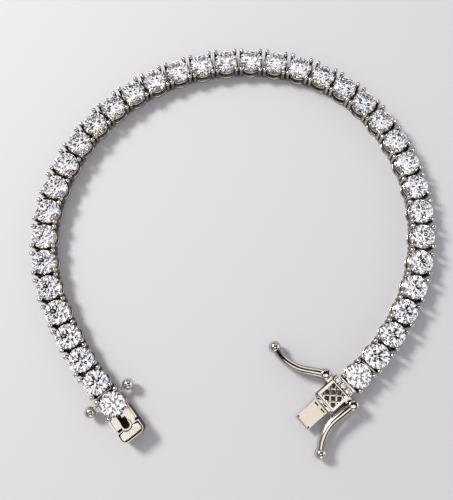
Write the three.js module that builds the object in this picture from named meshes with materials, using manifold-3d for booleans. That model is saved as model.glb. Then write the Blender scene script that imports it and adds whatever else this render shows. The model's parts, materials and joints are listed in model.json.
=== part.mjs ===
// A tennis bracelet, 37 round brilliants in four-prong settings, lying open on a table, stones up.
// Millimetres, +Z up. The origin is under the middle of the bracelet, on the table.
// One end is a box clasp with two side studs. The other is a lattice block with a folded
// spring tongue and two swinging safety latches, which close over the studs.

import * as THREE from 'three';
import { mergeVertices } from 'three/addons/utils/BufferGeometryUtils.js';
import { ConvexGeometry } from 'three/addons/geometries/ConvexGeometry.js';
import Module from 'manifold-3d';

// ---------------------------------------------------------------- driving sizes

const PITCH = 4.3;                 // from one stone to the next
const LINKS_PER_RUN = 6;           // settings joined in one node
const START_HEADING = 130;         // degrees, from the first stone to the second

// The lie of the bracelet: how far each link turns from the one before it, in degrees.
const LIE = [
  { links: 4, turn: -4.5 },
  { links: 4, turn: -9 },
  { links: 4, turn: -7.5 },
  { links: 4, turn: -7.5 },
  { links: 4, turn: -7 },
  { links: 4, turn: -9.5 },
  { links: 4, turn: -8 },
  { links: 4, turn: -8 },
  { links: 3, turn: -7 },
];

const STONE = {
  diameter: 4.0,
  girdleZ: 2.36,                   // underside of the girdle above the table
  girdle: 0.1,                     // girdle thickness
  table: 0.57,                     // table width over diameter
  crown: 0.15,                     // crown height over diameter
  pavilion: 0.43,                  // pavilion depth over diameter
  turnStep: 41,                    // degrees each stone is turned in its seat past the one before
};

const PRONG = {
  along: 1.63,                     // position along the bracelet
  across: 1.73,                    // tip position across it
  lean: 0.2,                       // how far the foot stands inside the tip
  radius: 0.32,
  beadRadius: 0.37,
  beadZ: 2.75,
  topZ: 3.2,
  sides: 4,
};

const UPPER_RING = { inner: 1.75, outer: 2.07, bottom: 1.55, top: 1.88, sides: 8 };
const LOWER_RING = { inner: 1.6, outer: 2.03, bottom: 0, top: 0.46, sides: 8 };
const BASKET = { inner: 1.5, outer: 1.66, bottom: 0.3, top: 1.55, sides: 8 };
const HINGE_BAR = { start: 1.6, reach: 2.7, freeReach: 2.1, width: 1.2, bottom: 0.05, top: 0.45 };

const STUD = { x: -1.1, z: 1.62, ballY: 3.6, ball: 0.9, post: 0.3, postY: 1.5 };

const BOX = {
  turn: -3,                        // degrees from the first link
  start: 1.5,                      // joins the first setting's hinge side
  end: 6.2,                        // the mouth
  width: 4.0,
  height: 2.6,
  cavityStart: 2.5,
  cavityWidth: 3.0,
  cavityBottom: 0.55,
  cavityTop: 2.1,
  slotStart: 2.25,
  slotEnd: 4.2,
  slotWidth: 1.2,
  grooveStart: 3.85,
  grooveEnd: 4.2,
  grooveBottom: 2.15,
};
const COLLAR = {
  start: 4.25,
  height: 2.95,
  corner: 0.5,
  rim: 0.2,
  groove: 0.18,
  grooveBottom: 2.7,
  chamfer: 0.42,                   // the slope down to the mouth
};

const BLOCK = {
  turn: -4,                        // degrees from the last link
  sideways: -0.5,                  // play in the hinge to the last link
  start: 2.25,
  end: 7.0,
  width: 3.6,
  height: 2.75,
  wall: 0.4,
  roof: 0.5,
  rim: 0.2,
  windowStart: 3.75,
  cells: 2,
  cellPitch: 1.38,
  cellReach: 0.54,                 // half of a diamond cell's diagonal
  barLength: 0.4,
  barWidth: 1.15,
  barGap: 0.5,
};
const ACCENT = { count: 3, diameter: 0.95, x: 2.95, pitch: 1.1, girdleZ: 2.62, clear: 0.1, well: 1.0 };

const TONGUE = {
  start: 7.55,
  end: 11.7,
  width: 2.75,
  leaf: 0.35,
  lowerZ: 0.85,
  upperZ: 2.0,                     // top of the upper leaf at its free end
  foldRadius: 0.42,
};

const LATCH = {
  pivotX: 3.8,
  pivotY: 3.15,
  midZ: 1.6,
  straight: 3.3,
  bendRadius: 6.5,
  bendTurn: 48,
  ball: 0.95,
  ballBeyond: 0.6,
  wire: 0.95,
  wireRise: 0.93,                  // wire centre above and below the middle at the knuckle
  wireTipRise: 0.4,
  knuckle: 0.8,
  knuckleTop: 1.52,
  knuckleInner: 0.45,
  pin: 0.25,
  steps: 7,
};
const LUG = { radius: 0.72, eye: 0.36, height: 0.7 };

const LATCH_REST = { inner: 52.5, outer: -3.3 };  // degrees open from lying along the block

const METAL = { color: 0xd9d5cf, roughness: 0.16, metalness: 1.0 };
const GOLD_WARM = { color: 0xe6dccb, roughness: 0.2, metalness: 1.0 };
const DIAMOND = { color: 0xf2f3fa, roughness: 0.02, metalness: 0.0 };

const EPS = 0.1;                   // how far a cutter runs past the face it opens

// ---------------------------------------------------------------- booleans and meshes

const wasm = await Module();
wasm.setup();

function solidOf(geometry) {
  const bare = geometry.clone();
  bare.deleteAttribute('normal');
  bare.deleteAttribute('uv');
  const merged = mergeVertices(bare, 1e-4);
  const index = merged.index.array;
  const position = merged.attributes.position.array;
  const kept = [];
  for (let i = 0; i < index.length; i += 3) {
    const [a, b, c] = [index[i], index[i + 1], index[i + 2]];
    if (a !== b && b !== c && c !== a) kept.push(a, b, c);
  }
  return new wasm.Manifold(new wasm.Mesh({
    numProp: 3,
    vertProperties: new Float32Array(position),
    triVerts: new Uint32Array(kept),
  }));
}

function join(geometries) {
  return geometries.map(solidOf).reduce((sum, next) => sum.add(next));
}

function cut(solid, geometries) {
  return geometries.map(solidOf).reduce((rest, next) => rest.subtract(next), solid);
}

function geometryOf(solid) {
  const mesh = solid.getMesh();
  const geometry = new THREE.BufferGeometry();
  geometry.setAttribute('position', new THREE.BufferAttribute(mesh.vertProperties, 3));
  geometry.setIndex(new THREE.BufferAttribute(mesh.triVerts, 1));
  geometry.computeVertexNormals();
  return geometry;
}

function named(name, geometry, look) {
  const mesh = new THREE.Mesh(geometry, new THREE.MeshStandardMaterial(look));
  mesh.name = name;
  return mesh;
}

// ---------------------------------------------------------------- plain shapes

function box(x0, x1, y0, y1, z0, z1) {
  const geometry = new THREE.BoxGeometry(x1 - x0, y1 - y0, z1 - z0);
  return geometry.translate((x0 + x1) / 2, (y0 + y1) / 2, (z0 + z1) / 2);
}

// A solid turned about Z from a closed list of [radius, z].
function turned(profile, sides) {
  const points = profile.map(([radius, z]) => new THREE.Vector2(radius, z));
  return new THREE.LatheGeometry(points, sides).rotateX(Math.PI / 2);
}

function ring({ inner, outer, bottom, top, sides }) {
  const profile = [[inner, bottom], [outer, bottom], [outer, top], [inner, top], [inner, bottom]];
  return turned(profile, sides);
}

function post(radius, z0, z1, sides) {
  return turned([[0, z0], [radius, z0], [radius, z1], [0, z1]], sides);
}

function ball(radius, sides) {
  return new THREE.SphereGeometry(radius, sides, sides / 2 + 1);
}

function roundedPlate(x0, x1, width, corner, z0, z1) {
  const half = width / 2;
  const shape = new THREE.Shape();
  shape.moveTo(x0 + corner, -half);
  shape.lineTo(x1 - corner, -half);
  shape.absarc(x1 - corner, -half + corner, corner, -Math.PI / 2, 0, false);
  shape.absarc(x1 - corner, half - corner, corner, 0, Math.PI / 2, false);
  shape.absarc(x0 + corner, half - corner, corner, Math.PI / 2, Math.PI, false);
  shape.absarc(x0 + corner, -half + corner, corner, Math.PI, Math.PI * 1.5, false);
  const geometry = new THREE.ExtrudeGeometry(shape, { depth: z1 - z0, bevelEnabled: false, curveSegments: 2 });
  return geometry.translate(0, 0, z0);
}

function placed(geometry, place) {
  const matrix = new THREE.Matrix4().makeRotationZ(place.heading);
  matrix.setPosition(place.x, place.y, 0);
  return geometry.applyMatrix4(matrix);
}

// ---------------------------------------------------------------- the lie of the bracelet

function layLinks() {
  const turns = LIE.flatMap(({ links, turn }) => Array(links).fill(turn));
  const places = [{ x: 0, y: 0 }];
  let heading = THREE.MathUtils.degToRad(START_HEADING);
  const headings = [heading];
  for (const turn of [...turns, 0]) {
    const last = places[places.length - 1];
    places.push({ x: last.x + PITCH * Math.cos(heading), y: last.y + PITCH * Math.sin(heading) });
    heading += THREE.MathUtils.degToRad(turn);
    headings.push(heading);
  }
  // Each link faces halfway between the steps on its two sides.
  return places.map((place, k) => {
    const before = headings[Math.max(k - 1, 0)];
    const after = headings[Math.min(k, places.length - 2)];
    return { ...place, heading: (before + after) / 2 };
  });
}

// ---------------------------------------------------------------- stones

// A round brilliant: table, crown, girdle and pavilion, as the hull of its facet corners.
function brilliant(diameter, girdle, folds) {
  const radius = diameter / 2;
  const crown = STONE.crown * diameter;
  const pavilion = STONE.pavilion * diameter;
  const tableRadius = STONE.table * radius;
  const starRadius = 0.8 * radius;
  const lowerRadius = 0.25 * radius;
  const halfStep = Math.PI / folds;
  const starZ = crown * (radius - starRadius * Math.cos(halfStep)) / (radius - tableRadius);
  const lowerZ = -pavilion * (1 - lowerRadius * Math.cos(halfStep) / radius);
  const points = [new THREE.Vector3(0, 0, -pavilion)];
  const corner = (r, angle, z) => points.push(new THREE.Vector3(r * Math.cos(angle), r * Math.sin(angle), z));
  for (let k = 0; k < folds; k++) {
    const main = 2 * k * halfStep;
    const between = main + halfStep;
    corner(tableRadius, main, girdle + crown);
    corner(starRadius, between, girdle + starZ);
    corner(lowerRadius, between, lowerZ);
    for (const angle of [main, between]) {
      corner(radius, angle, girdle);
      corner(radius, angle, 0);
    }
  }
  return new ConvexGeometry(points);
}

function stones(places) {
  const shape = geometryOf(solidOf(brilliant(STONE.diameter, STONE.girdle, 8)));
  return places.map((place, k) => {
    const mesh = named(`stone_${String(k + 1).padStart(2, '0')}`, shape, DIAMOND);
    mesh.position.set(place.x, place.y, STONE.girdleZ);
    mesh.rotation.z = place.heading + THREE.MathUtils.degToRad(k * STONE.turnStep);
    return mesh;
  });
}

// ---------------------------------------------------------------- settings

// One prong: a wire that leans out across the bracelet to the girdle, with a bead at its tip.
function prong(alongSign, acrossSign) {
  const { along, across, lean, radius, beadRadius, beadZ, topZ, sides } = PRONG;
  const profile = [[0, 0], [radius, 0], [beadRadius, beadZ], [0, topZ]];
  const slope = new THREE.Matrix4().makeShear(0, 0, 0, 0, 0, acrossSign * lean / topZ);
  return turned(profile, sides).applyMatrix4(slope).translate(alongSign * along, acrossSign * (across - lean), 0);
}

// The metal of one setting; the hinge bar reaches towards the next link.
function setting(barReach) {
  const pieces = [UPPER_RING, LOWER_RING, BASKET].map(ring);
  for (const alongSign of [-1, 1]) {
    for (const acrossSign of [-1, 1]) pieces.push(prong(alongSign, acrossSign));
  }
  if (barReach) {
    const half = HINGE_BAR.width / 2;
    pieces.push(box(HINGE_BAR.start, barReach, -half, half, HINGE_BAR.bottom, HINGE_BAR.top));
  }
  return pieces;
}

function settingRuns(places) {
  const runs = [];
  for (let first = 1; first < places.length; first += LINKS_PER_RUN) {
    const run = places.slice(first, first + LINKS_PER_RUN);
    const pieces = run.flatMap((place, k) => {
      const reach = k === run.length - 1 ? HINGE_BAR.freeReach : HINGE_BAR.reach;
      return setting(reach).map((piece) => placed(piece, place));
    });
    runs.push(named(`setting_run_${runs.length + 1}`, geometryOf(join(pieces)), METAL));
  }
  return runs;
}

// ---------------------------------------------------------------- box clasp

function stud(side) {
  const length = STUD.ballY - STUD.postY;
  const stem = new THREE.CylinderGeometry(STUD.post, STUD.post, length, 6);
  stem.translate(STUD.x, side * (STUD.postY + length / 2), STUD.z);
  return [stem, ball(STUD.ball, 8).translate(STUD.x, side * STUD.ballY, STUD.z)];
}

// The first setting, its studs and the box that takes the tongue. +X runs to the mouth.
function boxClasp() {
  const half = BOX.width / 2;
  const stone = STONE.diameter / 2 + 0.1;
  const shell = cut(join([
    box(BOX.start, BOX.end, -half, half, 0, BOX.height),
    roundedPlate(COLLAR.start, BOX.end, BOX.width, COLLAR.corner, BOX.height - EPS, COLLAR.height),
  ]), [
    post(stone, -EPS, BOX.height + EPS, 12),
    box(BOX.cavityStart, BOX.end + EPS, -BOX.cavityWidth / 2, BOX.cavityWidth / 2, BOX.cavityBottom, BOX.cavityTop),
    roundedPlate(BOX.slotStart, BOX.slotEnd, BOX.slotWidth, BOX.slotWidth * 0.45, BOX.cavityBottom, BOX.height + EPS),
    box(BOX.grooveStart, BOX.grooveEnd, BOX.slotWidth / 2, half + EPS, BOX.grooveBottom, BOX.height + EPS),
    box(BOX.grooveStart, BOX.grooveEnd, -half - EPS, -BOX.slotWidth / 2, BOX.grooveBottom, BOX.height + EPS),
  ]);
  const { start, corner, rim, groove, grooveBottom, height, chamfer } = COLLAR;
  const trench = solidOf(roundedPlate(start + rim, BOX.end - rim, BOX.width - 2 * rim, corner - rim / 2,
    grooveBottom, height + EPS));
  const inset = rim + groove;
  const pad = solidOf(roundedPlate(start + inset, BOX.end - inset, BOX.width - 2 * inset, corner / 2,
    grooveBottom - EPS, height + 2 * EPS));
  const metal = join([...setting(0), ...stud(1), ...stud(-1)]);
  const slope = box(-chamfer, chamfer, -half - EPS, half + EPS, -chamfer, chamfer).rotateY(Math.PI / 4);
  slope.translate(BOX.end, 0, height);
  return cut(shell.subtract(trench.subtract(pad)), [slope]).add(metal);
}

// ---------------------------------------------------------------- clasp block

function lug(side) {
  const half = LUG.height / 2;
  const y = side * LATCH.pivotY;
  const inner = side * (BLOCK.width / 2 - BLOCK.wall / 2);
  const eyeRound = post(LUG.radius, LATCH.midZ - half, LATCH.midZ + half, 12).translate(LATCH.pivotX, y, 0);
  const web = box(LATCH.pivotX - LUG.radius, LATCH.pivotX + LUG.radius, Math.min(inner, y), Math.max(inner, y),
    LATCH.midZ - half, LATCH.midZ + half);
  return [eyeRound, web];
}

function latticeCells() {
  const middle = BLOCK.windowStart + BLOCK.cells * BLOCK.cellPitch / 2;
  const cells = [];
  const last = 2 * (BLOCK.cells - 1);
  for (let i = 0; i <= last; i++) {
    for (let j = i % 2; j <= last; j += 2) {
      const cell = post(BLOCK.cellReach, 0, BLOCK.height + EPS, 4);
      const x = middle + (i - last / 2) * BLOCK.cellPitch / 2;
      cells.push(cell.translate(x, (j - last / 2) * BLOCK.cellPitch / 2, 0));
    }
  }
  return cells;
}

// The lattice block that carries the tongue, the accent stones and the latches. +X runs to the tongue.
function claspBlock() {
  const half = BLOCK.width / 2;
  const { wall, roof, rim, windowStart, start, end, height } = BLOCK;
  const windowEnd = windowStart + BLOCK.cells * BLOCK.cellPitch;
  const windowHalf = BLOCK.cells * BLOCK.cellPitch / 2;
  const bars = [-1, 1].map((side) => {
    const inner = side * BLOCK.barGap / 2;
    const outer = side * (BLOCK.barGap / 2 + BLOCK.barWidth);
    return box(end - EPS, end + BLOCK.barLength, Math.min(inner, outer), Math.max(inner, outer), height - roof, height);
  });
  const solid = join([box(start, end, -half, half, 0, height), ...lug(1), ...lug(-1), ...bars]);
  const eyes = [-1, 1].map((side) => post(LUG.eye, 0, height, 10).translate(LATCH.pivotX, side * LATCH.pivotY, 0));
  const wells = accentPlaces().map((y) => {
    const radius = ACCENT.diameter / 2 + ACCENT.clear;
    return post(radius, height - ACCENT.well, height + EPS, 8).translate(ACCENT.x, y, 0);
  });
  return cut(solid, [
    box(windowStart, windowEnd, -windowHalf, windowHalf, height - rim, height + EPS),
    box(windowStart, end - wall, -half + wall, half - wall, -EPS, height - rim - roof),
    ...latticeCells(), ...eyes, ...wells,
  ]);
}

function accentPlaces() {
  return Array.from({ length: ACCENT.count }, (_, k) => (k - (ACCENT.count - 1) / 2) * ACCENT.pitch);
}

function accentStones() {
  const shape = geometryOf(solidOf(brilliant(ACCENT.diameter, 0.05, 6)));
  return accentPlaces().map((y, k) => {
    const mesh = named(`accent_stone_${k + 1}`, shape, DIAMOND);
    mesh.position.set(ACCENT.x, y, ACCENT.girdleZ);
    return mesh;
  });
}

// ---------------------------------------------------------------- tongue

// A spring strip folded on itself at the tip: a flat lower leaf and an upper leaf that rises to its free end.
function tongue() {
  const { start, end, width, leaf, lowerZ, upperZ, foldRadius } = TONGUE;
  const foldX = end - foldRadius;
  const foldZ = lowerZ + foldRadius;
  const inner = foldRadius - leaf;
  const shape = new THREE.Shape();
  shape.moveTo(start, lowerZ);
  shape.lineTo(foldX, lowerZ);
  shape.absarc(foldX, foldZ, foldRadius, -Math.PI / 2, Math.PI / 2, false);
  shape.lineTo(start, upperZ);
  shape.lineTo(start, upperZ - leaf);
  shape.lineTo(foldX, foldZ + inner);
  shape.absarc(foldX, foldZ, inner, Math.PI / 2, -Math.PI / 2, true);
  shape.lineTo(start, lowerZ + leaf);
  const geometry = new THREE.ExtrudeGeometry(shape, { depth: width, bevelEnabled: false, curveSegments: 5 });
  return geometry.rotateX(Math.PI / 2).translate(0, width / 2, 0);
}

// ---------------------------------------------------------------- latches

// The middle line of one latch wire: straight from the knuckle, then bent outwards to the ball.
// The level is 1 for the upper wire and -1 for the lower; outwards is +Y for side 1 and -Y for side -1.
class LatchWire extends THREE.Curve {
  constructor(level, side) {
    super();
    this.level = level;
    this.side = side;
  }

  getPoint(t, target = new THREE.Vector3()) {
    const { straight, bendRadius, bendTurn, wireRise, wireTipRise } = LATCH;
    const along = t * (straight + bendRadius * THREE.MathUtils.degToRad(bendTurn));
    const turn = Math.max(along - straight, 0) / bendRadius;
    return target.set(
      Math.min(along, straight) + bendRadius * Math.sin(turn),
      this.side * bendRadius * (1 - Math.cos(turn)),
      this.level * THREE.MathUtils.lerp(wireRise, wireTipRise, t ** 2),
    );
  }
}

function polygon(radius, sides) {
  const points = Array.from({ length: sides }, (_, k) => {
    const angle = (k + 0.5) * 2 * Math.PI / sides;
    return new THREE.Vector2(radius * Math.cos(angle), radius * Math.sin(angle));
  });
  return new THREE.Shape(points);
}

function wire(level, side) {
  return new THREE.ExtrudeGeometry(polygon(LATCH.wire / 2, 8), {
    extrudePath: new LatchWire(level, side),
    steps: LATCH.steps,
  });
}

// Two stacked wires from a pinned pair of knuckles to one ball. The pivot is the shape's origin.
function latch(side) {
  const { knuckle, knuckleTop, knuckleInner, pin } = LATCH;
  const upperHalf = [[pin, knuckleInner], [knuckle * 0.85, knuckleInner], [knuckle, knuckleInner + 0.3],
    [knuckle, knuckleTop - 0.4], [knuckle * 0.6, knuckleTop - 0.08], [0, knuckleTop]];
  const lowerHalf = upperHalf.map(([radius, z]) => [radius, -z]).reverse();
  const tip = new LatchWire(0, side).getPoint(1);
  const bend = THREE.MathUtils.degToRad(LATCH.bendTurn);
  const tipBall = ball(LATCH.ball, 8);
  tipBall.translate(tip.x + LATCH.ballBeyond * Math.cos(bend), tip.y + side * LATCH.ballBeyond * Math.sin(bend), 0);
  return geometryOf(join([turned([...lowerHalf, ...upperHalf], 8), wire(1, side), wire(-1, side), tipBall]));
}

function latchMesh(name, side, openDegrees) {
  const mesh = named(name, latch(side), METAL);
  mesh.position.set(LATCH.pivotX, side * LATCH.pivotY, LATCH.midZ);
  mesh.rotation.z = side * THREE.MathUtils.degToRad(openDegrees);
  return mesh;
}

// ---------------------------------------------------------------- assembly

function groupAt(place, heading, meshes) {
  const group = new THREE.Group();
  group.position.set(place.x, place.y, 0);
  group.rotation.z = heading;
  group.add(...meshes);
  return group;
}

const places = layLinks();
const firstPlace = places[0];
const lastPlace = places[places.length - 1];
const boxHeading = firstPlace.heading + Math.PI + THREE.MathUtils.degToRad(BOX.turn);
const blockHeading = lastPlace.heading + THREE.MathUtils.degToRad(BLOCK.turn);
const blockPlace = {
  x: lastPlace.x - BLOCK.sideways * Math.sin(blockHeading),
  y: lastPlace.y + BLOCK.sideways * Math.cos(blockHeading),
};

const bracelet = new THREE.Group();
bracelet.add(...stones(places), ...settingRuns(places));
bracelet.add(groupAt(firstPlace, boxHeading, [
  named('box_clasp', geometryOf(boxClasp()), METAL),
]));
bracelet.add(groupAt(blockPlace, blockHeading, [
  named('clasp_block', geometryOf(claspBlock()), METAL),
  named('tongue', tongue(), GOLD_WARM),
  latchMesh('latch_inner', -1, LATCH_REST.inner),
  latchMesh('latch_outer', 1, LATCH_REST.outer),
  ...accentStones(),
]));

const bounds = new THREE.Box3().setFromObject(bracelet, true);
const middle = bounds.getCenter(new THREE.Vector3());
bracelet.position.set(-middle.x, -middle.y, -bounds.min.z);

export default bracelet;
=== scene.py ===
# A tennis bracelet lying open on a pale table: brilliants in four-prong settings, a box clasp with
# two studs, and a lattice block with a folded tongue and two swinging latches.
# Shapes are built in millimetres in each part's own frame, then placed and scaled to metres.

import json
import math

import bmesh
import bpy
from mathutils import Matrix, Vector


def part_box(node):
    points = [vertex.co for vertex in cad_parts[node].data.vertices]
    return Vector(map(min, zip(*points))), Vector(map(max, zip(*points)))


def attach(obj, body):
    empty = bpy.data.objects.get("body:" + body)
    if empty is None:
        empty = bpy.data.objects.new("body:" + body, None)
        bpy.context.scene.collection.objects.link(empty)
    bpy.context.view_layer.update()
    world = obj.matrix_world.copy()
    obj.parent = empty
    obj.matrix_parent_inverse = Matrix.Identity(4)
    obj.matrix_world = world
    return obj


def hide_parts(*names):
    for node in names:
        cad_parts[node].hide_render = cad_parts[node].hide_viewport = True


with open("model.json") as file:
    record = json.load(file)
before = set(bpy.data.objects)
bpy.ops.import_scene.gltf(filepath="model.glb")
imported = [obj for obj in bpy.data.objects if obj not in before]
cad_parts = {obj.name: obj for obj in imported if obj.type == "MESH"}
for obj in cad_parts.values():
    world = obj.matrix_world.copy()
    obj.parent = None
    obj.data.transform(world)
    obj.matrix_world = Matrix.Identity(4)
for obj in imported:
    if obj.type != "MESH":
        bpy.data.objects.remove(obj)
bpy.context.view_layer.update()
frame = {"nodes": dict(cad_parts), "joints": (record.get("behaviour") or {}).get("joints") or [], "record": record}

bl_info = {
    "name": "Tennis bracelet",
    "version": (1, 0, 0),
    "blender": (4, 5, 0),
    "location": "3D View > Sidebar > Bracelet",
    "description": "Builds the bracelet's settings, clasp, latches and finishes around the frame",
    "category": "Add Mesh",
}

MM = 0.001
ABOVE = 3.2  # higher than every top face: where the cutters end
BEVEL_ANGLE = math.radians(35)
SHARP_ANGLE = math.radians(40)
FLAT_WEIGHT = 90
MERGE_DISTANCE = 1e-5
NODES = frame["nodes"]
BODY = "bracelet"
RUNS = sorted(name for name in NODES if name.startswith("setting_run_"))
STONES = sorted(name for name in NODES if name.startswith("stone_"))
ACCENTS = sorted(name for name in NODES if name.startswith("accent_stone_"))


# ------------ places read from the frame


def centre_of(node):
    """Middle of a CAD node in plan, in millimetres."""
    low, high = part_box(node)
    middle = (low + high) / 2 / MM
    return Vector((middle.x, middle.y, 0))


def heading(vector):
    return math.atan2(vector.y, vector.x)


def turn_place(at, angle):
    return Matrix.Translation(at) @ Matrix.Rotation(angle, 4, "Z")


def link_places():
    """Each stone's place, facing halfway between the steps on its two sides."""
    centres = [centre_of(name) for name in STONES]
    steps = [(b - a).normalized() for a, b in zip(centres, centres[1:])]
    ahead = steps + steps[-1:]
    behind = steps[:1] + steps
    return [(at, heading(one + two)) for at, one, two in zip(centres, ahead, behind)]


def named(entries, name):
    return next(entry for entry in entries if entry["name"] == name)


def point_of(entry):
    return Vector(entry["pos_m"]) / MM


LINKS = link_places()
BOX_MOUNT = point_of(named(frame["record"]["mounts"], "box_clasp_base"))
BOX_PLACE = turn_place(LINKS[0][0], heading(BOX_MOUNT - LINKS[0][0]))
INNER_SWING = named(frame["joints"], "latch_inner_swing")
PIVOT_INNER = point_of(INNER_SWING)
PIVOT_OUTER = point_of(named(frame["joints"], "latch_outer_swing"))
BLOCK_HEADING = heading(PIVOT_OUTER - PIVOT_INNER) - math.pi / 2
BLOCK_AT = (PIVOT_INNER + PIVOT_OUTER) / 2 * Vector((1, 1, 0))
PIVOT_SPREAD = (PIVOT_OUTER - PIVOT_INNER).length / 2
PIVOT_Z = PIVOT_INNER.z
INNER_OPEN = math.radians(-INNER_SWING["range_deg"][0])


# ------------ sizes and colours a user would change


def length(name, millimetres, description):
    return bpy.props.FloatProperty(
        name=name, description=description, default=millimetres * MM, min=0, unit="LENGTH", precision=5
    )


def colour(name, default, description):
    return bpy.props.FloatVectorProperty(
        name=name, description=description, default=default, size=3, min=0, max=1, subtype="COLOR"
    )


def angular(name, degrees, description):
    return bpy.props.FloatProperty(
        name=name, description=description, default=math.radians(degrees), subtype="ANGLE"
    )


class BRACELET_PG_setting(bpy.types.PropertyGroup):
    prong_along: length("Prong along", 1.63, "Bead position along the bracelet")
    prong_across: length("Prong across", 1.71, "Bead position across the bracelet")
    prong_lean: length("Prong lean", 0.2, "How far a prong's foot stands inside its tip")
    prong_radius: length("Prong radius", 0.34, "Radius of a prong's wire")
    bead_radius: length("Bead radius", 0.385, "Radius of a prong's bead")
    bead_height: length("Bead height", 2.8, "Height of a bead's middle")
    upper_radius: length("Upper ring radius", 1.87, "Middle of the upper gallery ring")
    upper_height: length("Upper ring height", 1.76, "Height of the ring")
    upper_width: length("Upper ring width", 0.25, "Width of its wire")
    upper_depth: length("Upper ring depth", 0.27, "Depth of its wire")
    lower_radius: length("Lower ring radius", 1.92, "Middle of the lower gallery ring")
    lower_height: length("Lower ring height", 0.23, "Height of the ring")
    lower_width: length("Lower ring width", 0.26, "Width of its wire")
    lower_depth: length("Lower ring depth", 0.44, "Depth of its wire")
    # The basket is a dark wall under each stone that stands in for the shade inside the setting; it takes painted
    # shade.
    basket_radius: length("Basket radius", 1.58, "Middle of the wall under the stone")
    basket_height: length("Basket height", 0.97, "Height of its middle")
    basket_width: length("Basket width", 0.14, "Thickness of the wall")
    basket_depth: length("Basket depth", 1.32, "Depth of the wall")
    hinge_reach: length("Hinge reach", 2.15, "From a stone's middle to the hinge pin")
    hinge_radius: length("Hinge radius", 0.3, "Radius of the hinge barrels")
    hinge_width: length("Hinge width", 0.9, "Length of the middle barrel")
    hinge_height: length("Hinge height", 0.32, "Height of the hinge pin")
    plate_width: length("Plate width", 2.6, "Width of the plate between two links")
    plate_depth: length("Plate depth", 2.0, "Depth of the plate between two links")


class BRACELET_PG_box(bpy.types.PropertyGroup):
    start: length("Start", 1.5, "Where it joins the first setting")
    end: length("End", 6.2, "Where the mouth is")
    width: length("Width", 4.0, "Width of the box")
    height: length("Height", 2.6, "Height of the side plates")
    collar_start: length("Collar start", 4.25, "Where the collar starts")
    collar_height: length("Collar height", 2.95, "Height of the collar's rim")
    slot_width: length("Slot width", 1.2, "Width of the top's slot")
    slot_end: length("Slot end", 4.45, "The slot's round end")
    stud_back: length("Stud back", 1.1, "How far behind the first stone the studs stand")
    stud_reach: length("Stud reach", 3.6, "From the middle to a stud's ball")
    stud_ball: length("Stud ball", 0.9, "Radius of a stud's ball")
    stud_height: length("Stud height", 1.62, "Height of the studs")


class BRACELET_PG_block(bpy.types.PropertyGroup):
    pivot: length("Pivot", 3.8, "From the block's origin to the latch pins")
    start: length("Start", 2.25, "Where the block starts")
    end: length("End", 7.0, "Where the block ends")
    width: length("Width", 3.6, "Width of the block")
    height: length("Height", 2.75, "Height of the block")
    window_start: length("Window start", 3.72, "Where the window starts")
    window_length: length("Window length", 2.8, "Length of the window")
    wire: length("Lattice wire", 0.33, "Width of the bars at the top")
    lattice_step: length("Lattice step", 0.98, "Step between parallel bars")
    tongue_end: length("Tongue end", 11.7, "Where the tongue's fold is")
    tongue_width: length("Tongue width", 2.75, "Width of the tongue")


class BRACELET_PG_latch(bpy.types.PropertyGroup):
    straight: length("Straight", 3.3, "Length of the arm's straight part")
    bend_radius: length("Bend radius", 6.5, "Radius of its outward bend")
    bend_turn: angular("Bend turn", 48, "How far the arm bends outwards")
    closed_turn: angular("Closed turn", 3.3, "How far a closed latch leans in")
    root_width: length("Root width", 1.4, "Width of the arm at the knuckle")
    tip_width: length("Tip width", 1.12, "Width of the arm at the ball")
    ball: length("Ball", 0.95, "Radius of the arm's ball")
    knuckle: length("Knuckle", 0.85, "Radius of the knuckles")


class BRACELET_PG_finish(bpy.types.PropertyGroup):
    metal: colour("Metal", (0.76, 0.735, 0.705), "Polished white gold")
    metal_dull: colour("Metal, dull", (0.64, 0.605, 0.56), "Where its polish is clouded")
    tongue: colour("Tongue", (0.90, 0.83, 0.76), "The tongue's warmer spring strip")
    tongue_dull: colour("Tongue, dull", (0.82, 0.745, 0.67), "Between its hairlines")
    cast: colour("Cast metal", (0.64, 0.50, 0.40), "Unpolished metal under the lattice")
    cast_dark: colour("Cast metal, dark", (0.42, 0.30, 0.22), "Its darker spots")
    # Painted shade: a near-black tone for the slots, notches, collar groove, the tongue's fold and the basket
    # walls, standing in for the shade that falls there.
    recess: colour("Recess", (0.065, 0.046, 0.036), "Unpolished metal in the slots and baskets")
    stone: colour("Stone", (0.985, 0.98, 0.985), "The clear stones")
    table: colour("Table", (0.518, 0.512, 0.53), "The pale table top")
    polish: bpy.props.FloatProperty(
        name="Roughness", description="Roughness of the polished metal",
        default=0.07, min=0, max=1, subtype="FACTOR",
    )


class BRACELET_PG_stage(bpy.types.PropertyGroup):
    lens: bpy.props.FloatProperty(name="Lens", description="Focal length", default=44.64, unit="CAMERA")
    camera_height: length("Camera height", 101.8, "Height above the table")
    camera_back: length("Camera back", 21.8, "Towards the bracelet's open side")
    camera_side: length("Camera side", 1.14, "Towards the box clasp")
    camera_tilt: angular("Camera tilt", 11.57, "Tilt from straight down")
    table_size: length("Table size", 3000, "Side of the table top")


GROUPS = {
    "bracelet_setting": BRACELET_PG_setting,
    "bracelet_box": BRACELET_PG_box,
    "bracelet_block": BRACELET_PG_block,
    "bracelet_latch": BRACELET_PG_latch,
    "bracelet_finish": BRACELET_PG_finish,
    "bracelet_stage": BRACELET_PG_stage,
}


class Sizes:
    """A property group's lengths, read in millimetres."""

    def __init__(self, group):
        self.group = getattr(bpy.context.scene, group)

    def __getattr__(self, name):
        return getattr(self.group, name) / MM


# ------------ node trees


def fill(tree, node, inputs):
    """Sets inputs, found by name or number, to values or other nodes' outputs."""
    for key, value in dict(inputs).items():
        socket = node.inputs[key]
        if isinstance(value, bpy.types.NodeSocket):
            tree.links.new(value, socket)
        else:
            socket.default_value = value


def add_node(tree, kind, inputs=(), **settings):
    node = tree.nodes.new(kind)
    for key, value in settings.items():
        setattr(node, key, value)
    fill(tree, node, inputs)
    return node


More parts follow.
